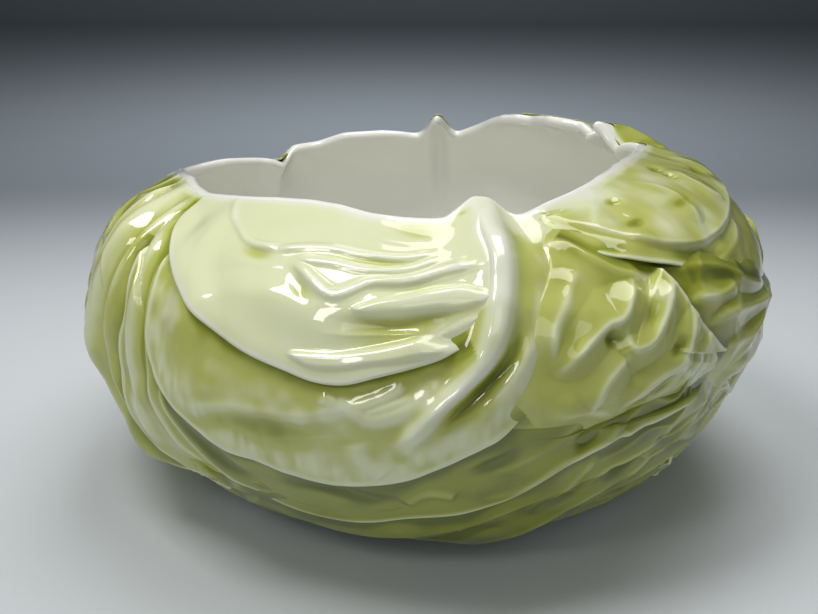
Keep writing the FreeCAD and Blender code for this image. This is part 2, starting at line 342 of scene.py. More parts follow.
class Sheet:
    """The places on one leaf where its relief is worked out."""

    def __init__(self, azimuth, along, inward):
        self.azimuth = azimuth
        self.along = along
        self.inward = inward
        self.flat = np.stack([azimuth * PLANE_SCALE, along], 1)
        self.base = base_place(azimuth, along)

    def stroke(self, line, width, end_width=None, ends=(0.12, 0.12), sharp=2.0):
        """1 along a line, falling to 0 at about its width, with soft ends."""
        route = on_bowl(line, 40)
        reach = 6 / sharp * max(width, end_width or width)
        near = np.all((self.base > route.min(0) - reach) & (self.base < route.max(0) + reach), axis=1)
        result = np.zeros(len(self.base))
        gap, where = distance(self.base[near], route)
        gap = np.sqrt(gap ** 2 + 0.3) - 0.5
        half = width + ((end_width or width) - width) * where
        soft = step(0, max(ends[0], 1e-3), where) * step(0, max(ends[1], 1e-3), 1 - where)
        result[near] = np.exp(-(gap / half) ** sharp) * soft
        return result

    def patch(self, outline, soft, shift=0.0):
        """1 inside an outline and 0 outside it, with a soft border that may be shifted inwards."""
        edge = smooth([(a * PLANE_SCALE, arc(z)) for a, z in outline], 90, closed=True)
        x, y = self.flat[:, 0], self.flat[:, 1]
        inside = np.zeros(len(x), bool)
        for (x0, y0), (x1, y1) in zip(edge, np.roll(edge, -1, axis=0)):
            crosses = (y0 > y) != (y1 > y)
            inside ^= crosses & (x < (x1 - x0) * (y - y0) / (y1 - y0 + 1e-12) + x0)
        gap, where = distance(self.flat, np.vstack([edge, edge[:1]]))
        return step(shift - soft, shift + soft, np.where(inside, gap, -gap))

    def dimple(self, azimuth, height, width, tall):
        """1 at a place, falling off over a width and a height in millimetres."""
        x = turned(self.azimuth, azimuth) * np.radians(np.interp(arc(height), LINE_ARC, LINE_R))
        return np.exp(-(x / width) ** 2 - ((self.along - arc(height)) / tall) ** 2)

    def drawn(self, strokes):
        """Height and tone of a list of drawn ridges and grooves: height, width, tone, line."""
        up, down, tone = (np.zeros(len(self.base)) for i in range(3))
        for high, width, shade, line in strokes:
            mark = self.stroke(line, width, ends=(0.12, 0.12) if high > 0 else (0.5, 0.5))
            up = np.maximum(up, high * mark)
            down = np.minimum(down, high * mark)
            tone = tone + shade * mark
        return up + down, tone

    def creases(self, lines):
        """Height and tone of sharp veins with hollow slopes on both sides: height, line."""
        up, tone = np.zeros(len(self.base)), np.zeros(len(self.base))
        for high, line in lines:
            up = np.maximum(up, high * self.stroke(line, 4.5, ends=(0.25, 0.25), sharp=1.0))
            tone = np.minimum(tone, -0.07 * high * self.stroke(line, 1.0))
        return up, tone

    def pillows(self, outlines, soft=1.1):
        """1 on flat-topped swellings with steep sides."""
        total = np.zeros(len(self.base))
        for outline in outlines:
            total = np.maximum(total, self.patch(outline, soft))
        return total


def crinkle(sheet, cell, seed, stretch=(1.0, 1.0), lean=0.0):
    """Raised network of veins, as on a savoy leaf, from 0 to 1."""
    c, s = math.cos(math.radians(lean)), math.sin(math.radians(lean))
    x, y = sheet.flat[:, 0], sheet.flat[:, 1]
    leaned = np.stack([x * c + y * s, y * c - x * s], 1)
    drift = np.stack([ripple(leaned, cell * 0.9, seed + 1), ripple(leaned, cell * 0.9, seed + 2)], 1)
    gap = lattice((leaned + 0.35 * cell * drift) / np.array(stretch), cell, seed)
    return np.exp(-gap / VEIN_WIDTH)


def lateral_veins(sheet, midrib, count, reach, drop, width=1.8):
    """Pairs of side veins that leave a midrib and bend down towards the leaf's edge."""
    line = smooth(midrib, 60)
    total = np.zeros(len(sheet.base))
    for i in range(count):
        share = (i + 0.6) / count
        a, z = line[int(share * 0.85 * 59)]
        for side in (-1, 1):
            long = reach * (1 - 0.45 * share)
            run = side * long
            vein = [(a, z), (a + run * 0.35, z - drop * 0.1), (a + run * 0.7, z - drop * 0.45),
                    (a + run, z - drop)]
            total = np.maximum(total, sheet.stroke(vein, width, width * 0.6, ends=(0.02, 0.3)))
    return total


MIDRIB = [(10, 133), (10, 122), (10, 113), (9, 103), (7.5, 94), (5, 85.5), (2, 79.5), (-2, 71.5),
          (-5.5, 63)]


def front_midrib(sheet):
    """The broad white rib that comes down from the rim and bends to the left."""
    return sheet.stroke(MIDRIB, 6.0, 2.6, ends=(0.0, 0.12), sharp=2.4)


def relief_front_left(sheet):
    """A smooth pale flap with long glossy folds that fan out from the midrib."""
    h, tone = sheet.drawn([
        (0.9, 1.2, -0.08, [(-44, 126), (-39, 121), (-34, 117.5), (-31.5, 115.5), (-24, 114.5)]),
        (1.2, 1.1, -0.08, [(-26, 114), (-20.5, 115.5), (-17, 116), (-10, 115), (-3.5, 115), (1.5, 117)]),
        (1.0, 1.2, -0.08, [(-22, 112.5), (-15.5, 112.5), (-9.5, 111.5), (-4, 112), (2, 115.5)]),
        (1.5, 1.5, -0.08, [(-22, 113), (-17.5, 108), (-14, 105), (-8.5, 108.5), (-4, 109), (2, 112),
                           (8, 113)]),
        (0.5, 1.4, 0.0, [(-12.5, 122), (-8.5, 120), (-4, 119), (1, 119)]),
        (-0.5, 1.0, 0.18, [(-18, 114.5), (-10, 113.5), (-3.5, 113.5), (1, 116)]),
        (-0.5, 1.2, 0.08, [(-12, 107), (-6, 107), (0, 108), (6, 110)]),
        (-2.4, 2.2, 0.26, [(-16, 98), (-12, 98.5), (-8, 99), (-3.5, 99.5), (2, 101.5), (7, 104)]),
        (-1.0, 2.2, 0.16, [(-17, 94), (-8, 95.5), (0, 98.5), (5, 101.5)]),
        (-0.6, 1.8, 0.20, [(-33, 115), (-30, 113), (-26, 112.5), (-23, 112)]),
        (-0.6, 1.7, 0.18, [(-21.5, 109.5), (-18, 104.5), (-15, 101.5)]),
        (-0.3, 2.0, 0.16, [(-10, 123.5), (-5, 122), (0, 121.5), (5, 122.5)])])
    folds_on_top = sheet.pillows([
        [(-10.5, 102), (-7.5, 104), (-3, 105.5), (0.5, 107), (4, 107.5), (8, 105), (-0.5, 101.5),
         (-5, 100)],
        [(-18.5, 90.5), (-12, 92), (-3.5, 95.5), (1.5, 98), (6, 100.5), (5, 97), (-3.5, 91.5),
         (-8, 90), (-12, 88.5), (-16, 88.5)]])
    tone += 0.42 * sheet.dimple(-3, 124, 8, 1.6) + 0.5 * sheet.dimple(5, 126.5, 3, 1.8)
    rib = front_midrib(sheet)
    lumps = 0.25 * ripple(sheet.flat, 15, 61) + 0.15 * ripple(sheet.flat, 7, 62)
    h += 1.3 * folds_on_top + 1.2 * sheet.dimple(-36, 103, 13, 12) + 3.2 * rib + lumps
    return h, 0.21 + tone - 0.1 * rib - 0.04 * folds_on_top


def relief_front(sheet):
    """The leaf with the broad midrib, a deep groove beside it and a fold across its lower left."""
    rib = front_midrib(sheet)
    h, tone = sheet.drawn([
        (-3.8, 2.3, 0.50, [(13, 102), (12, 97), (10, 91), (7, 85), (3.5, 78.5), (-0.5, 72.5), (-4, 65)]),
        (1.4, 3.2, -0.08, [(15, 97), (12.5, 89.5), (9.5, 81), (5.5, 73), (0.5, 66.5), (-4, 61.5)]),
        (1.0, 2.2, -0.12, [(-37, 70), (-34, 69), (-30, 71.5), (-24, 73), (-18, 73), (-13, 76),
                           (-11, 78), (-8.5, 75), (-3.5, 77.5), (-0.5, 82), (3, 87)]),
        (-1.5, 3.8, 0.20, [(-40, 68), (-36, 66), (-31, 67.5), (-25, 69), (-18, 69.5), (-12, 72),
                           (-6, 72)]),
        (-0.8, 3.0, 0.10, [(-28, 63), (-20, 64), (-14, 66), (-6, 66)]),
        (0.9, 1.5, -0.14, [(-15, 80.5), (-11, 78), (-7, 80.5), (-3, 85)]),
        (0.7, 1.4, -0.10, [(-9, 76), (-5, 79), (0, 82)]),
        (0.7, 3.0, -0.08, [(-10, 68), (-9, 62), (-6, 56)])])
    pillow = sheet.dimple(-38, 97, 6, 8)
    h += 3.8 * rib + 1.4 * pillow + 0.35 * ripple(sheet.flat, 13, 11) + 0.25 * ripple(sheet.flat, 5, 12)
    near_edge = np.exp(-((sheet.inward - 5) / 5) ** 2)
    striped = 0.08 * ripple(sheet.flat * (1.0, 0.25), 1.6, 13) * near_edge
    mottled = 0.10 * ripple(sheet.flat, 11, 14) + 0.06 * ripple(sheet.flat, 4, 15)
    beside_rib = step(9, 16, sheet.azimuth)
    # Painted shade: the tone is darker high on this leaf, where the front-left flap overlaps it.
    shade_under_flap = 0.10 * step(84, 96, np.interp(sheet.along, LINE_ARC, LINE_Z))
    tone = tone + striped + mottled - 0.08 * near_edge + shade_under_flap
    return h, 0.41 - 0.36 * rib - 0.3 * pillow - 0.10 * beside_rib + tone


def relief_right(sheet):
    """A net of sharp pale veins with hollow green cells between them."""
    h, tone = sheet.creases([
        (1.6, [(23, 111.5), (21, 107.5), (19, 103), (16.5, 97), (16, 87)]),
        (3.2, [(15.5, 84), (20.5, 92), (24, 96), (26.5, 97), (29, 101.5), (31, 105), (34, 106.5)]),
        (3.2, [(26.5, 97), (27, 93), (27.5, 89.5), (30, 89.5), (33, 94), (36.5, 100.5), (38.5, 105)]),
        (2.6, [(20.5, 71), (22.5, 80), (27.5, 89)]),
        (3.4, [(25.5, 69), (28, 75), (32.5, 79), (36.5, 81.5), (38, 88), (39, 93), (40.5, 98)]),
        (2.4, [(36.5, 81.5), (39, 76), (41, 80), (42, 85.5), (43, 89)]),
        (2.4, [(29, 60), (32.5, 63), (38, 64.5), (41, 70), (43.5, 78.5), (46, 82)]),
        (2.0, [(14, 76.5), (17.5, 74), (21, 73.5), (26, 68), (30.5, 59)]),
        (2.2, [(12, 115), (18, 116.5), (22, 117), (25, 112.5), (28.5, 108.5), (33.5, 106), (38, 106)])])
    cuts, shade = sheet.drawn([
        (-1.8, 1.6, 0.30, [(23, 91), (25, 93.5), (26, 95)]),
        (-1.5, 2.0, 0.16, [(29.5, 91.5), (32, 96), (34, 101)]),
        (-1.6, 1.5, 0.34, [(29, 73.5), (33, 76.5), (36, 78.5)]),
        (-1.8, 1.5, 0.36, [(37, 68), (39.5, 71.5), (40.5, 74.5)]),
        (-1.0, 2.4, 0.16, [(18, 87), (18.5, 93), (21, 99)]),
        (-1.4, 1.4, 0.30, [(33.5, 84.5), (36, 86.5), (37, 90)])])
    lit = step(20, 10, sheet.azimuth) * step(96, 112, np.interp(sheet.along, LINE_ARC, LINE_Z))
    ridges = crinkle(sheet, 14, 5, stretch=(1.3, 0.85), lean=35)
    crisp = 0.5 * step(26, 40, sheet.azimuth)
    mottled = 0.12 * ripple(sheet.flat, 8, 16)
    tone = tone + shade + mottled - 0.30 * lit
    return h + cuts + 0.4 * ripple(sheet.flat, 9, 17) + crisp * ridges, 0.50 + tone - 0.10 * crisp * ridges


def relief_pleated(sheet):
    """Long narrow pleats that meet at the rim's left corner."""
    h, tone = sheet.drawn([
        (1.8, 2.6, -0.22, [(-53, 120), (-50.5, 110), (-49, 100), (-48.5, 90), (-48.5, 78), (-48.5, 66),
                           (-48.5, 54), (-47, 42)]),
        (1.2, 1.0, -0.22, [(-46.5, 106), (-45, 96), (-44, 86), (-43.5, 76), (-43.5, 66), (-42.5, 57),
                           (-41, 48), (-37, 41)]),
        (-1.2, 1.4, 0.26, [(-48.5, 112), (-46.5, 102), (-46, 92), (-45.5, 80), (-45.5, 68), (-45, 56),
                           (-43.5, 44)]),
        (-1.0, 1.4, 0.18, [(-51.5, 104), (-51, 94), (-51, 82), (-51.5, 70), (-51.5, 58), (-51, 46)])])
    return h, 0.48 + tone + 0.1 * ripple(sheet.flat, 8, 18)


def relief_left_outer(sheet):
    """A stout smooth upright fold with a second, slimmer one on its inner side."""
    h, tone = sheet.drawn([
        (4.4, 4.6, -0.18, [(-63, 128), (-62, 121), (-61.5, 113), (-61, 104), (-61.5, 94), (-62, 84),
                           (-62.5, 72), (-61.5, 60), (-58.5, 49), (-54, 40), (-48, 32)]),
        (3.0, 2.2, -0.10, [(-56, 124), (-55, 116), (-54.5, 108), (-54.5, 98), (-55, 86), (-55.5, 74),
                           (-55, 62), (-53, 50)]),
        (-2.2, 1.4, 0.34, [(-59, 120), (-57.5, 112), (-57, 104), (-57.5, 94), (-58, 84), (-58, 74),
                           (-57.5, 62)])])
    # Darker olive towards the bottom of this fold: partly deeper glaze and partly painted shade on the low
    # part, which lies in shade.
    low = 1 - step(44, 78, np.interp(sheet.along, LINE_ARC, LINE_Z))
    return h, 0.42 + tone + 0.36 * low + 0.08 * ripple(sheet.flat, 12, 19)


def relief_upper_right(sheet):
    """Two steps of blade under the right side of the rim, dimpled near the top."""
    upper = sheet.patch([(18, TOP), (21, 126), (26, 121), (31, 117), (36, 113), (41, 110),
                         (46.5, 108.5), (56, 109), (65, 111), (75, 114), (84, 116), (90, 120),
                         (90, TOP)], 1.6)
    pits = [(22.5, 124.5, 6.0, 0.9, 1.0), (19.5, 120.5, 3.2, 1.3, 1.8), (24.5, 118.5, 2.6, 1.2, 2.0),
            (38.5, 124, 2.6, 1.8, 1.4), (64, 127, 3.4, 2.0, 2.2), (62.5, 124.5, 2.0, 2.0, 1.8),
            (37.5, 117.5, 4, 1.6, 0.8), (52, 118.5, 6.0, 2.2, 0.8), (76, 121, 4.0, 3.0, 1.4)]
    h, tone = sheet.creases([
        (1.2, [(26, 121), (31, 117), (36, 113), (41, 110.5), (46.5, 109), (56, 109.5), (65, 111.5),
               (75, 114.5), (84, 117), (90, 122)]),
        (1.4, [(49, 103), (56, 104), (63, 107), (68, 112)]),
        (1.2, [(68.5, 126), (65, 121.5), (65, 118), (70, 113)]),
        (0.8, [(38.5, 130), (35, 125.5), (29.5, 119.5)]),
        (0.9, [(50, 128), (54, 122), (52, 114), (50, 110)]),
        (1.0, [(80, 127), (82, 121), (78, 116)])])
    under, shade = sheet.drawn([
        (-1.2, 2.0, 0.36, [(22, 121), (25, 117.5), (29, 114.5), (34, 112)]),
        (-1.0, 2.2, 0.24, [(36, 111), (44, 107), (52, 104), (60, 101)])])
    h += 1.6 * upper + under + 0.4 * ripple(sheet.flat, 12, 22) + 0.2 * ripple(sheet.flat, 5, 23)
    whiter = sheet.dimple(33, 127, 14, 5) + sheet.dimple(18, 122, 6, 4)
    tone += shade + 0.52 - 0.12 * upper - 0.34 * whiter + 0.12 * ripple(sheet.flat, 9, 24)
    for azimuth, height, width, tall, deep in pits:
        pit = sheet.dimple(azimuth, height, width, tall)
        h -= deep * pit
        tone += 0.34 * pit
    return h, tone


def relief_far_right(sheet):
    """Sharp veins that run down and back from the step under the rim."""
    h, tone = sheet.creases([
        (2.6, [(37, 107), (43, 105), (51.5, 101.5), (55.5, 97), (71, 86.5)]),
        (2.6, [(40, 97.5), (49, 95.5), (55.5, 97)]),
        (2.8, [(42, 88.5), (49.5, 89.5), (59, 86.5), (72, 84)]),
        (2.4, [(46, 80), (54, 78), (62, 80), (72, 84), (84, 80)]),
        (2.2, [(50, 70), (58, 68), (66, 70), (76, 66), (88, 66)]),
        (2.0, [(62, 80), (66, 70), (68, 58), (66, 48)]),
        (2.0, [(84, 80), (86, 66), (82, 54)]),
        (2.2, [(72, 84), (80, 96), (86, 110), (88, 124)]),
        (2.0, [(84, 80), (96, 86), (104, 98), (108, 116)]),
        (1.8, [(80, 96), (92, 100), (96, 112)])])
    ridges = crinkle(sheet, 20, 47, (1.3, 1.0), 35)
    h += 0.8 * ridges + 0.4 * ripple(sheet.flat, 9, 48)
    return h, 0.62 + tone + 0.12 * ripple(sheet.flat, 8, 49)


def relief_lower_front(sheet):
    """The leaf under the front leaf: long soft waves, and veins that branch on its right."""
    h, tone = sheet.creases([
        (2.0, [(7, 43), (13.5, 49.5), (18, 57), (24, 61.5), (26, 68), (25, 76)]),
        (1.8, [(26, 68), (30.5, 59), (36, 54)]),
        (1.6, [(29.5, 61), (32.5, 63), (38, 64.5), (44, 68)]),
        (1.3, [(8, 53), (13, 60), (17.5, 66), (21, 73)])])
    waves, shade = sheet.drawn([
        (-2.2, 2.4, 0.46, [(-24, 48), (-18, 46), (-13, 45), (-8, 43), (-4, 44.5)]),
        (0.9, 2.0, -0.10, [(-4, 42), (-0.5, 47.5), (4, 45.5)]),
        (-1.4, 2.2, 0.30, [(4, 53), (9, 59), (13, 65)]),
        (-1.6, 1.8, 0.30, [(19, 61), (22, 65.5), (23.5, 69)]),
        (-1.2, 1.8, 0.30, [(-38.5, 68), (-36, 58), (-31, 49), (-26, 43.5)])])
    mottled = 0.12 * ripple(sheet.flat * (0.6, 1.0), 7, 33)
    # The base tone 0.80 is dark partly for deeper green glaze and partly as painted shade on this low leaf,
    # which faces down, away from the lamps.
    return h + waves + 0.3 * ripple(sheet.flat, 12, 32), 0.80 + tone + shade + mottled


def relief_base_front(sheet):
    """A narrow leaf edge above the foot, over another that shows below it."""
    upper = sheet.patch([(-54, 54), (-45, 42), (-38, 33), (-30, 26.5), (-22, 22), (-14, 20), (-6, 22),
                         (2, 26), (9, 31), (16, 38), (26, 48), (38, 58), (54, 64), (40, 80),
                         (-40, 80)], 0.8)
    h, tone = sheet.creases([
        (2.0, [(-2, 15), (7, 15.5), (14, 18), (20.5, 26), (26, 35), (32.5, 41.5), (40, 50)]),
        (1.8, [(25, 38), (26.5, 50.5), (31.5, 53.5), (37, 53)]),
        (1.2, [(19.5, 34), (21, 45), (23, 52.5), (23.5, 60)])])
    cuts, shade = sheet.drawn([
        (-2.6, 2.2, 0.42, [(-6, 17), (2, 19.5), (8.5, 25), (14, 29)]),
        (-2.2, 1.8, 0.42, [(16, 30), (20, 35), (24, 40)]),
        (-2.2, 2.2, 0.40, [(27, 41), (30, 46), (34, 51)]),
        (-1.6, 1.6, 0.36, [(-28, 22), (-22, 18.5), (-16, 16.5)])])
    ridges = crinkle(sheet, 14, 41, (1.7, 0.7), 15)
    side = step(18, 40, np.abs(sheet.azimuth))
    tone = tone + shade + 0.12 * ripple(sheet.flat * (0.6, 1.0), 7, 34)
    # The base tone 0.88 is dark partly for deeper green glaze and partly as painted shade on this low band,
    # which faces down, away from the lamps.
    return h + cuts + 1.4 * upper + side * 1.8 * ridges, 0.88 + tone - 0.10 * upper - 0.14 * side * ridges


def relief_crinkled(seed, cell=14.0, stretch=(1.2, 1.0), lean=20, strong=1.0):
    """Makes the relief of a leaf that is all crinkles, for a place out of the main view."""
    def relief(sheet):
        ridges = crinkle(sheet, cell, seed, stretch, lean)
        h = strong * 2.6 * (ridges - 0.35) + 0.6 * ripple(sheet.flat, 20, seed + 5)
        return h, 0.66 - 0.26 * ridges + 0.12 * ripple(sheet.flat, 8, seed + 6)
    return relief


def relief_veined(seed, midrib, count, reach, drop):
    """Makes the relief of a leaf with a midrib, pairs of side veins and crinkles between them."""
    def relief(sheet):
        rib = sheet.stroke(midrib, 6.0, 2.0, ends=(0.0, 0.2), sharp=2.4)
        veins = lateral_veins(sheet, midrib, count, reach, drop)
        ridges = crinkle(sheet, 14, seed, stretch=(1.3, 0.9))
        h = 3.4 * rib + np.maximum(2.0 * veins, 2.2 * ridges) - 0.7
        mottled = 0.14 * ripple(sheet.flat, 8, seed + 6)
        return h, 0.52 - 0.35 * rib - 0.2 * np.maximum(veins, ridges) + mottled
    return relief


RELIEF = {
    "base_leaf_front": relief_base_front,
    "base_leaf_right": relief_crinkled(42, 14, (1.6, 0.8)),
    "base_leaf_back": relief_veined(43, [(178, 66), (178, 40), (178, 14)], 4, 26, 18),
    "base_leaf_left": relief_crinkled(44, 14, (1.5, 0.8), -20),
    "lower_front_leaf": relief_lower_front,
    "far_right_leaf": relief_far_right,
    "far_left_leaf": relief_crinkled(52, 22, (0.8, 1.4), -15, 0.9),
    "back_right_leaf": relief_veined(48, [(142, 133), (141, 110), (137, 84), (136, 58)], 5, 20, 14),
    "back_left_leaf": relief_veined(49, [(-132, 110), (-136, 92), (-141, 74), (-142, 56)], 4, 18, 12),
    "lower_back_leaf": relief_veined(50, [(184, 100), (184, 74), (184, 44)], 4, 22, 14),
    "left_outer_leaf": relief_left_outer,
    "right_leaf": relief_right,
    "left_pleated_leaf": relief_pleated,
    "back_leaf": relief_veined(55, [(175.5, 127), (176, 112), (179, 92), (180, 66)], 5, 24, 16),
    "back_left_lobe": relief_crinkled(58, 12, (1.2, 1.0), 10),
    "upper_right_leaf": relief_upper_right,
    "front_leaf": relief_front,
    "front_left_leaf": relief_front_left,
}


def leaf_edge(middle, outline, spokes):
    """The leaf's outline in the flat plane, drawn in to just below the rim where it passes it."""
    edge = smooth([(a * PLANE_SCALE, arc(z)) for a, z in outline], 3000, closed=True)
    low, high = np.zeros(len(edge)), np.ones(len(edge))
    for i in range(22):
        share = (low + high) / 2
        at = middle + share[:, None] * (edge - middle)
        over = at[:, 1] > rim_arc(at[:, 0] / PLANE_SCALE) - RIM_GAP
        high = np.where(over, share, high)
        low = np.where(over, low, share)
    inside = edge[:, 1] <= rim_arc(edge[:, 0] / PLANE_SCALE) - RIM_GAP
    edge = middle + np.where(inside, 1.0, low)[:, None] * (edge - middle)
    lengths = np.linalg.norm(np.diff(np.vstack([edge, edge[:1]]), axis=0), axis=1)
    run = np.concatenate([[0], np.cumsum(lengths)])
    at = np.linspace(0, run[-1], spokes, endpoint=False)
    return np.stack([np.interp(at, run, np.append(edge[:, k], edge[0, k])) for k in (0, 1)], 1)


def layer_share(azimuth, along):
    """Share of its full thickness that a leaf has at a place: thin under the rim and near the foot."""
    rim = step(0, 30, rim_arc(azimuth) - along)
    foot = step(0, 22, along - arc(6))
    return (0.07 + 0.93 * rim) * (0.35 + 0.65 * foot)


def near_other_leaves(sheet, name):
    """How many leaves lie below each place, how far glaze pools and painted contact shade falls beside the
    free edges of higher leaves, and how deep the place lies under them."""
    below, pool_and_contact_shade, covered = (np.zeros(len(sheet.base)) for i in range(3))
    middle = LEAVES[name][3][0]
    for other, (layer, thick, lift, centre, margin, rest) in LEAVES.items():
        shift = 360 * round((middle - centre[0]) / 360)
        outline = [(a + shift, z) for a, z in margin + rest]
        apart = other == name or layer == LEAVES[name][0] or abs(centre[0] + shift - middle) > 110
        if not apart and layer > LEAVES[name][0]:
            # Painted contact shade beside a higher leaf's free edge, together with the glaze that pools
            # there.
            pool_and_contact_shade = np.maximum(pool_and_contact_shade, sheet.stroke(margin, 3.2, ends=(0, 0), sharp=1.2))
            covered = np.maximum(covered, sheet.patch(outline, 2.0, shift=8.0))
        elif not apart:
            below += sheet.patch(outline, 5.0, shift=3.0)
    return below, pool_and_contact_shade, covered


def blurred(values, spokes, reach):
    """Values on the leaf's rings and spokes, averaged over a reach of both."""
    grid = values.reshape(-1, spokes)
    kernel = np.exp(-(np.arange(-3 * reach, 3 * reach + 1) / reach) ** 2)
    kernel /= kernel.sum()
    padded = np.pad(grid, ((3 * reach, 3 * reach), (0, 0)), "edge")
    grid = sum(k * padded[i:i + len(grid)] for i, k in enumerate(kernel))
    padded = np.pad(grid, ((0, 0), (3 * reach, 3 * reach)), "wrap")
    grid = sum(k * padded[:, i:i + spokes] for i, k in enumerate(kernel))
    return grid.reshape(-1)


def make_leaf(name, spokes=SPOKES, rings=RINGS):
    """A closed mesh of one leaf: the outside with its relief, a rolled edge, and an underside in the wall."""
    layer, thick, lift, centre, margin, rest = LEAVES[name]
    middle = np.array([centre[0] * PLANE_SCALE, arc(centre[1])])
    edge = leaf_edge(middle, margin + rest, spokes)
    tangent = np.roll(edge, -1, axis=0) - np.roll(edge, 1, axis=0)
    outward = np.stack([tangent[:, 1], -tangent[:, 0]], 1)
    outward /= np.linalg.norm(outward, axis=1)[:, None]
    spoke = edge - middle
    outward *= np.sign(np.sum(outward * spoke, axis=1))[:, None]
    to_margin, where = distance(edge, smooth([(a * PLANE_SCALE, arc(z)) for a, z in margin], 200))
    below_rim = rim_arc(edge[:, 0] / PLANE_SCALE) - edge[:, 1]
    free = (1 - step(0.5, 7, to_margin)) * step(2, 14, below_rim)
    free = free * step(0, 0.07, where) * step(0, 0.07, 1 - where)

    share = np.linspace(0.004, 1, rings)[:, None]
    flat = (middle + share[:, :, None] * spoke[None]).reshape(-1, 2)
    inward = distance(flat, np.vstack([edge[::4], edge[:1]]))[0]
    azimuth, along = flat[:, 0] / PLANE_SCALE, flat[:, 1]
    sheet = Sheet(azimuth, along, inward)
    relief, tone = RELIEF[name](sheet)
    below, pool_and_contact_shade, covered = near_other_leaves(sheet, name)

    thin = layer_share(azimuth, along)
    loose = np.tile(free, rings)
    hidden = (1 - loose) * np.exp(-(inward / HIDE_REACH) ** 2) * step(3, 16, np.tile(below_rim, rings))
    edge_up = np.exp(-(inward / CURL_REACH) ** 2)
    dip_behind = 0.5 * np.exp(-((inward - 9) / CURL_REACH) ** 2)
    curl = lift * loose * (edge_up - dip_behind)
    first = FIRST + HIGHER * step(arc(34), arc(84), along)
    out = (first + LAYER * below) * thin + relief * (0.25 + 0.75 * thin) * (1 - 0.85 * hidden)
    out = out + curl * (1 + 0.4 * ripple(flat, 17, 90 + layer))
    out = out - (LAYER + 1.0) * thin * np.maximum(hidden, covered)
    hollow = np.clip(blurred(relief, spokes, 4) - relief, -1.2, 1.2)
    crest = loose * np.exp(-(inward / 1.2) ** 2)
    rim_white = 1 - step(0, 5, rim_arc(azimuth) - along)
    # Darker tone beside higher leaves' free edges is pooled glaze plus painted contact shade; darker tone in
    # hollows is pooled glaze.
    tone = np.clip(tone + POOL_AND_SHADE_TONE * pool_and_contact_shade + HOLLOW_TONE * hollow, 0, DEEPEST_TONE)
    tone = tone * (1 - CREST_WHITE * crest) * (1 - rim_white)
    points = [place(azimuth, along, out)]
    tones = [tone]

    # The edge rolls over and under, then the underside runs back into the wall.
    top = out[-spokes:]
    round_r = thick / 2 * (0.12 + 0.88 * free)
    for k in range(1, 9):
        turn = math.pi * k / 8
        at = edge + outward * (round_r * math.sin(turn))[:, None]
        points.append(place(at[:, 0] / PLANE_SCALE, at[:, 1], top - round_r * (1 - math.cos(turn))))
        tones.append(tone[-spokes:] + 0.07 * k)
    under_top = top - 2 * round_r
    insets = (0.985, 0.96, 0.92, 0.86, 0.78, 0.66, 0.5, 0.34, 0.18, 0.004)
    for k, inset in enumerate(insets):
        at = middle + inset * spoke
        sunk = step(0, 1, (k + 1) / 4)
        points.append(place(at[:, 0] / PLANE_SCALE, at[:, 1], under_top * (1 - sunk) - INNER_SINK * sunk))
        tones.append(np.full(spokes, 0.9))
    count = len(points) - 1 + rings
    points = np.vstack(points)
    faces = ring_faces(count, spokes)
    ends = np.arange(spokes)
    faces.append(ends[::-1].tolist())
    faces.append((ends + (count - 1) * spokes).tolist())
    return mesh_piece(name + "_glazed", name, points, faces, np.concatenate(tones))


def make_bowl():
    """The wall with its rounded wavy rim, and the smooth white inside."""
    spokes = 720
    azimuth = np.arange(spokes) * 360 / spokes - 180
    top = rim_arc(azimuth)
    rows = []
    for share in np.linspace(0, 1, 46):
        rows.append(place(azimuth, LINE_ARC[1] + (top - LINE_ARC[1]) * share, 0 * azimuth))
    for turn in np.linspace(0, math.pi, 12)[1:]:
        inwards = WALL / 2 * (1 - math.cos(turn))
        rows.append(place(azimuth, top + WALL / 2 * math.sin(turn), 0 * azimuth - inwards))
    low = arc(9)
    for share in np.linspace(0, 1, 90)[1:]:
        rows.append(place(azimuth, top + (low - top) * share, 0 * azimuth - WALL))
    inner = rows[-1]
    centre = np.array([AXIS_X * MM, AXIS_Y * MM, (FOOT_HEIGHT + WALL) * MM])
    for share in np.linspace(0, 1, 24)[1:-1]:
        flat = inner + (centre - inner) * share
        flat[:, 2] = centre[2] + (inner[:, 2] - centre[2]) * (1 - share) ** 3
        rows.append(flat)
    under = [rows[0] + (centre - rows[0]) * share * (1, 1, 0) for share in (0.97, 0.5)]
    rows = [under[1], under[0]] + rows
    faces = ring_faces(len(rows), spokes)
    ends = np.arange(spokes)
    faces.append(ends[::-1].tolist())
    faces.append((ends + (len(rows) - 1) * spokes).tolist())
    return mesh_piece("bowl_wall", "bowl", np.vstack(rows), faces)


def make_foot():
    """The unglazed ring that the bowl stands on, with rounded edges."""
    inner, soft = FOOT_OUTER_R - 8.0, 1.2
    corners = [(inner, FOOT_HEIGHT), (inner, soft), (inner + soft, 0), (FOOT_OUTER_R - soft, 0),
               (FOOT_OUTER_R, soft), (FOOT_OUTER_R, FOOT_HEIGHT)]
    spokes = 240
    a = np.radians(np.arange(spokes) * 360 / spokes)
    rows = [np.stack([AXIS_X + r * np.sin(a), AXIS_Y - r * np.cos(a), 0 * a + z], 1) * MM
            for r, z in corners]
    rows.append(rows[0])
    faces = ring_faces(len(rows), spokes, flip=True)
    piece = mesh_piece("foot_ring_clay", "foot_ring", np.vstack(rows), faces)
    bevel = piece.modifiers.new("round", "BEVEL")
    bevel.width = 0.0004
    bevel.segments = 2
    return piece


def new_material(name):
    material = bpy.data.materials.new(name)
    material.use_nodes = True
    tree = material.node_tree
    return material, tree.nodes, tree.links, tree.nodes["Principled BSDF"]


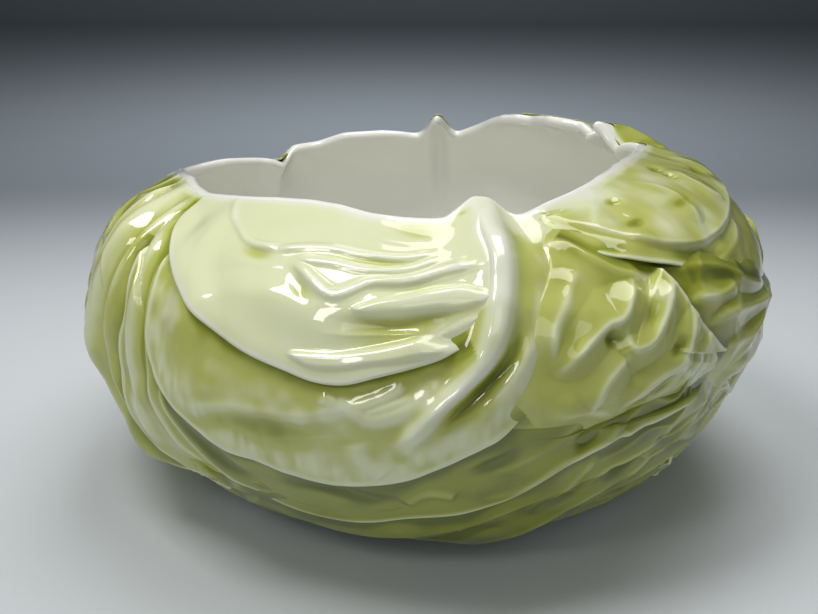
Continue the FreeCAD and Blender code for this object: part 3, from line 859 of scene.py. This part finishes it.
def colour_ramp(nodes, stops):
    ramp = nodes.new("ShaderNodeValToRGB")
    ramp.color_ramp.interpolation = "EASE"
    for i, (place_on, colour) in enumerate(stops):
        stop = ramp.color_ramp.elements[i] if i < 2 else ramp.color_ramp.elements.new(place_on)
        stop.position = place_on
        stop.color = (*colour, 1)
    return ramp


def noise(nodes, links, scale, detail):
    coordinates = nodes.new("ShaderNodeTexCoord")
    texture = nodes.new("ShaderNodeTexNoise")
    texture.inputs["Scale"].default_value = scale
    texture.inputs["Detail"].default_value = detail
    links.new(coordinates.outputs["Object"], texture.inputs["Vector"])
    return texture


def gloss(shader, nodes, links, waviness):
    """A clear fired glaze over the colour, very slightly uneven."""
    shader.inputs["Roughness"].default_value = 0.32
    shader.inputs["Specular IOR Level"].default_value = 0.15
    shader.inputs["Coat Weight"].default_value = 1.0
    shader.inputs["Coat Roughness"].default_value = 0.04
    shader.inputs["Coat IOR"].default_value = 1.55
    texture = noise(nodes, links, 55, 2)
    bump = nodes.new("ShaderNodeBump")
    bump.inputs["Strength"].default_value = waviness
    bump.inputs["Distance"].default_value = 0.0006
    links.new(texture.outputs["Fac"], bump.inputs["Height"])
    links.new(bump.outputs["Normal"], shader.inputs["Normal"])
    links.new(bump.outputs["Normal"], shader.inputs["Coat Normal"])


def green_glaze():
    """White on ridges and edges, pale green on the blades and olive green where the glaze pools, and also
    where the tone carries painted shade.
    """
    material, nodes, links, shader = new_material("green_glaze_over_white")
    tone = nodes.new("ShaderNodeAttribute")
    tone.attribute_name = "tone"
    cloud = noise(nodes, links, 60, 7)
    spread = nodes.new("ShaderNodeMath")
    spread.operation = "MULTIPLY_ADD"
    links.new(cloud.outputs["Fac"], spread.inputs[0])
    spread.inputs[1].default_value = 0.24
    spread.inputs[2].default_value = -0.12
    total = nodes.new("ShaderNodeMath")
    total.operation = "ADD"
    links.new(tone.outputs["Fac"], total.inputs[0])
    links.new(spread.outputs[0], total.inputs[1])
    ramp = colour_ramp(nodes, [
        (0.0, (0.80, 0.81, 0.65)), (1.0, (0.14, 0.17, 0.015)), (0.22, (0.72, 0.75, 0.46)),
        (0.5, (0.50, 0.53, 0.13)), (0.75, (0.30, 0.33, 0.03))])
    links.new(total.outputs[0], ramp.inputs["Fac"])
    links.new(ramp.outputs["Color"], shader.inputs["Base Color"])
    gloss(shader, nodes, links, 0.25)
    return material


def white_glaze():
    """The plain glaze inside and on the rim, faintly clouded."""
    material, nodes, links, shader = new_material("white_glaze_inside")
    cloud = noise(nodes, links, 14, 4)
    ramp = colour_ramp(nodes, [(0.3, (0.82, 0.82, 0.74)), (0.7, (0.86, 0.86, 0.79))])
    links.new(cloud.outputs["Fac"], ramp.inputs["Fac"])
    links.new(ramp.outputs["Color"], shader.inputs["Base Color"])
    gloss(shader, nodes, links, 0.2)
    return material


def bare_clay():
    """Grainy unglazed earthenware."""
    material, nodes, links, shader = new_material("bare_fired_clay")
    grain = noise(nodes, links, 420, 6)
    ramp = colour_ramp(nodes, [(0.35, (0.62, 0.57, 0.48)), (0.7, (0.76, 0.72, 0.64))])
    links.new(grain.outputs["Fac"], ramp.inputs["Fac"])
    links.new(ramp.outputs["Color"], shader.inputs["Base Color"])
    shader.inputs["Roughness"].default_value = 0.85
    bump = nodes.new("ShaderNodeBump")
    bump.inputs["Strength"].default_value = 0.4
    bump.inputs["Distance"].default_value = 0.0003
    links.new(grain.outputs["Fac"], bump.inputs["Height"])
    links.new(bump.outputs["Normal"], shader.inputs["Normal"])
    return material


def make_room():
    """A pale floor that sweeps up into a plain backdrop, with painted shade darkening it towards the back."""
    section = [(ROOM_FRONT, 0), (ROOM_BACK, 0)]
    for degrees in range(6, 91, 6):
        turn = math.radians(degrees)
        section.append((ROOM_BACK + BEND * math.sin(turn), BEND - BEND * math.cos(turn)))
    section.append((ROOM_BACK + BEND, WALL_TOP))
    points = [(x, y, z) for y, z in section for x in (-ROOM_HALF, ROOM_HALF)]
    faces = [(2 * i, 2 * i + 1, 2 * i + 3, 2 * i + 2) for i in range(len(section) - 1)]
    mesh = bpy.data.meshes.new("floor")
    mesh.from_pydata(points, [], faces)
    mesh.polygons.foreach_set("use_smooth", np.ones(len(faces), bool))
    floor = bpy.data.objects.new("floor", mesh)
    bpy.context.scene.collection.objects.link(floor)
    material, nodes, links, shader = new_material("floor_paper")
    where = nodes.new("ShaderNodeTexCoord")
    split = nodes.new("ShaderNodeSeparateXYZ")
    # Painted shade: the paper runs from pale near the bowl to dark grey half a metre behind it and up the
    # backdrop, in place of light falling off there.
    ramp = colour_ramp(nodes, [(0.05, (0.66, 0.69, 0.71)), (0.50, (0.15, 0.17, 0.19))])
    links.new(where.outputs["Object"], split.inputs["Vector"])
    links.new(split.outputs["Y"], ramp.inputs["Fac"])
    links.new(ramp.outputs["Color"], shader.inputs["Base Color"])
    shader.inputs["Roughness"].default_value = 0.40
    mesh.materials.append(material)


def softbox(name, location, target, size, power, tint=(1, 1, 1)):
    light = bpy.data.lights.new(name, "AREA")
    light.shape = "RECTANGLE"
    light.size, light.size_y = size
    light.energy = power
    light.color = tint
    lamp = bpy.data.objects.new(name, light)
    lamp.location = location
    lamp.rotation_euler = (Vector(target) - Vector(location)).to_track_quat("-Z", "Y").to_euler()
    bpy.context.scene.collection.objects.link(lamp)


def make_lights():
    centre = (0, 0, 0.07)
    softbox("key_left", (-0.24, -0.18, 0.66), (-0.03, -0.02, 0.05), (0.22, 0.22), 1.9)
    softbox("overhead", (0.14, 0.04, 0.80), centre, (0.45, 0.45), 2.7)
    softbox("window_front", (-0.26, -0.46, 0.42), centre, (0.10, 0.12), 0.35)
    softbox("front_fill", (0.15, -0.90, 0.75), centre, (0.60, 0.40), 1.2)
    softbox("backdrop_light", (-0.02, 0.60, 0.80), (-0.02, 1.50, 0.0), (0.30, 0.30), 14.0)
    softbox("back_fill", (0.10, 0.95, 0.75), centre, (0.40, 0.40), 0.6)
    world = bpy.data.worlds.new("studio")
    world.use_nodes = True
    world.node_tree.nodes["Background"].inputs["Color"].default_value = (0.62, 0.68, 0.76, 1)
    world.node_tree.nodes["Background"].inputs["Strength"].default_value = 0.13
    bpy.context.scene.world = world
    bpy.context.scene.view_settings.view_transform = "Standard"


def make_camera():
    """The camera looks down at the front, close enough for strong perspective."""
    target = Vector(((AXIS_X - TARGET_LEFT) * MM, AXIS_Y * MM, TARGET_UP * MM))
    elevation = math.radians(CAMERA_ELEVATION)
    back = Vector((0, -math.cos(elevation), math.sin(elevation)))
    data = bpy.data.cameras.new("camera")
    data.lens = LENS
    data.sensor_width = 36.0
    data.dof.use_dof = False
    camera = bpy.data.objects.new("camera", data)
    camera.location = target + back * CAMERA_DISTANCE
    camera.rotation_euler = (-back).to_track_quat("-Z", "Y").to_euler()
    bpy.context.scene.collection.objects.link(camera)
    bpy.context.scene.camera = camera


make_camera()
green, white, clay = green_glaze(), white_glaze(), bare_clay()
for leaf_name in LEAVES:
    make_leaf(leaf_name).data.materials.append(green)
make_bowl().data.materials.append(white)
make_foot().data.materials.append(clay)
make_room()
make_lights()
